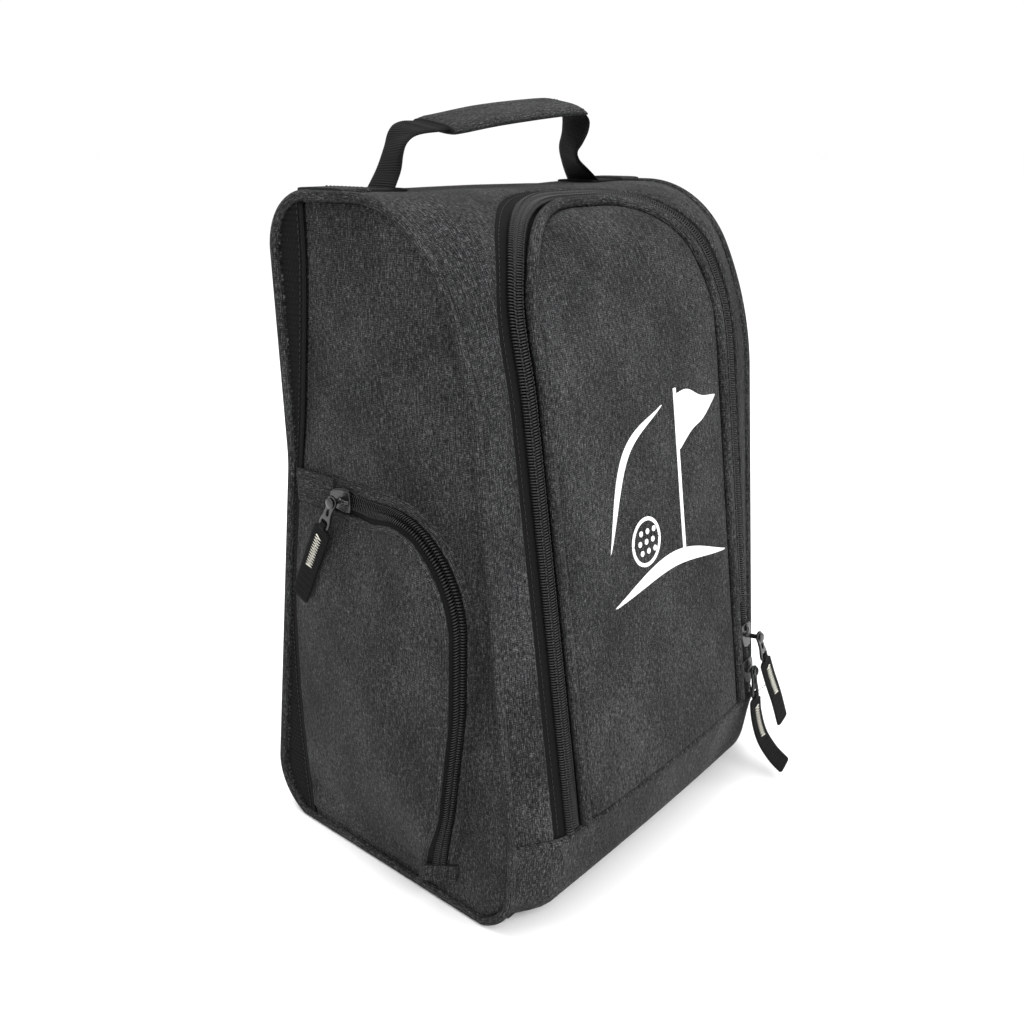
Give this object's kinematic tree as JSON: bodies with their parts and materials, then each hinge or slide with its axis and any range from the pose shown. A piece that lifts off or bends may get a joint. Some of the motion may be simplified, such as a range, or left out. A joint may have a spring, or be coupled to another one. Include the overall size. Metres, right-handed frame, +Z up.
{
  "type": "golf shoe bag",
  "caption": "Upright fabric shoe bag with a sloping zipped front door, zipped side pockets, mesh side vents and a webbing carry handle.",
  "frame": {"origin": "middle of the flat base, on the surface the bag stands on", "axes": "+X to the bag's right seen from the front's left-hand view, along its width; -Y the zipped front, +Y the back; +Z up"},
  "size_m": [0.2564, 0.2035, 0.3816],
  "materials": {
    "shell_fabric": "heathered charcoal plain weave polyester, matt",
    "mesh": "black spacer mesh, matt",
    "board": "polyethylene stiffener board",
    "zip_coil": "black nylon coil, satin",
    "zip_tape": "black woven tape, matt",
    "zip_metal": "black lacquered zinc, satin",
    "webbing": "black ribbed webbing, matt"
  },
  "bodies": {
    "root": {"back_panel": "shell_fabric", "base_board": "board", "base_panel": "shell_fabric", "left_handle_end": "webbing", "left_mesh_strip": "mesh", "left_piping": "shell_fabric", "left_pocket_bottom_tab": "shell_fabric", "left_pocket_fixed_face": "shell_fabric", "left_pocket_top_tab": "shell_fabric", "left_pocket_zip_outer_coil": "zip_coil", "left_pocket_zip_outer_tape": "zip_tape", "left_side_panel": "shell_fabric", "main_gusset": "shell_fabric", "main_zip_outer_coil": "zip_coil", "main_zip_outer_tape": "zip_tape", "right_handle_end": "webbing", "right_mesh_strip": "mesh", "right_piping": "shell_fabric", "right_pocket_bottom_tab": "shell_fabric", "right_pocket_fixed_face": "shell_fabric", "right_pocket_top_tab": "shell_fabric", "right_pocket_zip_outer_coil": "zip_coil", "right_pocket_zip_outer_tape": "zip_tape", "right_side_panel": "shell_fabric"},
    "front_door": {"front_door": "shell_fabric", "door_welt": "shell_fabric", "main_zip_inner_tape": "zip_tape", "main_zip_inner_coil": "zip_coil"},
    "left_pocket_flap": {"left_pocket_face": "shell_fabric", "left_pocket_zip_inner_coil": "zip_coil", "left_pocket_zip_inner_tape": "zip_tape"},
    "left_pocket_slider": {"left_pocket_slider": "zip_metal"},
    "left_pocket_puller": {"left_pocket_puller": "zip_metal"},
    "left_pocket_pull_tab": {"left_pocket_pull_tab": "webbing"},
    "right_pocket_flap": {"right_pocket_face": "shell_fabric", "right_pocket_zip_inner_coil": "zip_coil", "right_pocket_zip_inner_tape": "zip_tape"},
    "right_pocket_slider": {"right_pocket_slider": "zip_metal"},
    "right_pocket_puller": {"right_pocket_puller": "zip_metal"},
    "right_pocket_pull_tab": {"right_pocket_pull_tab": "webbing"},
    "main_lower_slider": {"main_lower_slider": "zip_metal"},
    "main_lower_puller": {"main_lower_puller": "zip_metal"},
    "main_lower_pull_tab": {"main_lower_pull_tab": "webbing"},
    "main_upper_slider": {"main_upper_slider": "zip_metal"},
    "main_upper_puller": {"main_upper_puller": "zip_metal"},
    "main_upper_pull_tab": {"main_upper_pull_tab": "webbing"},
    "handle": {"handle_strap": "webbing", "handle_grip": "shell_fabric"}
  },
  "joints": [
    {"name": "door_fold", "type": "hinge", "parent": "root", "child": "front_door", "pos_m": [0, -0.1034, 0.054], "axis": [1, 0, 0], "range_deg": [0, 95]},
    {"name": "handle_swing", "type": "hinge", "parent": "root", "child": "handle", "pos_m": [0, 0.02, 0.3547], "axis": [1, 0, 0], "range_deg": [-60, 60], "stiffness_Nm_per_rad": 0.05},
    {"name": "main_lower_slide", "type": "slide", "parent": "root", "child": "main_lower_slider", "axis": [0, 0.1379, 0.9904], "range_m": [0, 0.067]},
    {"name": "main_upper_slide", "type": "slide", "parent": "main_lower_slider", "child": "main_upper_slider", "axis": [0, 0.1379, 0.9904], "range_m": [0, 0.068]},
    {"name": "main_lower_puller_swing", "type": "hinge", "parent": "main_lower_slider", "child": "main_lower_puller", "pos_m": [0.084, -0.10751, 0.07088], "axis": [0, -0.9904, 0.1379], "range_deg": [-70, 70]},
    {"name": "main_lower_tab_fold", "type": "hinge", "parent": "main_lower_puller", "child": "main_lower_pull_tab", "pos_m": [0.084, -0.11029, 0.05638], "axis": [-1, 0, 0], "range_deg": [0, 95]},
    {"name": "main_upper_puller_swing", "type": "hinge", "parent": "main_upper_slider", "child": "main_upper_puller", "pos_m": [0.084, -0.10895, 0.09351], "axis": [0, -0.9904, 0.1379], "range_deg": [-88, 52]},
    {"name": "main_upper_tab_fold", "type": "hinge", "parent": "main_upper_puller", "child": "main_upper_pull_tab", "pos_m": [0.08856, -0.11163, 0.07972], "axis": [-0.9511, -0.0426, -0.3061], "range_deg": [0, 95]},
    {"name": "left_pocket_fold", "type": "hinge", "parent": "root", "child": "left_pocket_flap", "pos_m": [-0.1184, -0.006, 0.11], "axis": [0, 0, -1], "range_deg": [0, 35]},
    {"name": "left_pocket_slide", "type": "slide", "parent": "root", "child": "left_pocket_slider", "axis": [0, -1, 0], "range_m": [0, 0.008]},
    {"name": "left_pocket_puller_swing", "type": "hinge", "parent": "left_pocket_slider", "child": "left_pocket_puller", "pos_m": [-0.1208, 0.013, 0.2027], "axis": [1, 0, 0], "range_deg": [-36, 72]},
    {"name": "left_pocket_tab_fold", "type": "hinge", "parent": "left_pocket_puller", "child": "left_pocket_pull_tab", "pos_m": [-0.12155, 0.01992, 0.18968], "axis": [0, 0.8829, 0.4695], "range_deg": [0, 95]},
    {"name": "right_pocket_fold", "type": "hinge", "parent": "root", "child": "right_pocket_flap", "pos_m": [0.1184, -0.006, 0.11], "axis": [0, 0, 1], "range_deg": [0, 35]},
    {"name": "right_pocket_slide", "type": "slide", "parent": "root", "child": "right_pocket_slider", "axis": [0, -1, 0], "range_m": [0, 0.008]},
    {"name": "right_pocket_puller_swing", "type": "hinge", "parent": "right_pocket_slider", "child": "right_pocket_puller", "pos_m": [0.1208, 0.013, 0.2027], "axis": [1, 0, 0], "range_deg": [-36, 72]},
    {"name": "right_pocket_tab_fold", "type": "hinge", "parent": "right_pocket_puller", "child": "right_pocket_pull_tab", "pos_m": [0.12155, 0.01992, 0.18968], "axis": [0, -0.8829, -0.4695], "range_deg": [0, 95]}
  ]
}
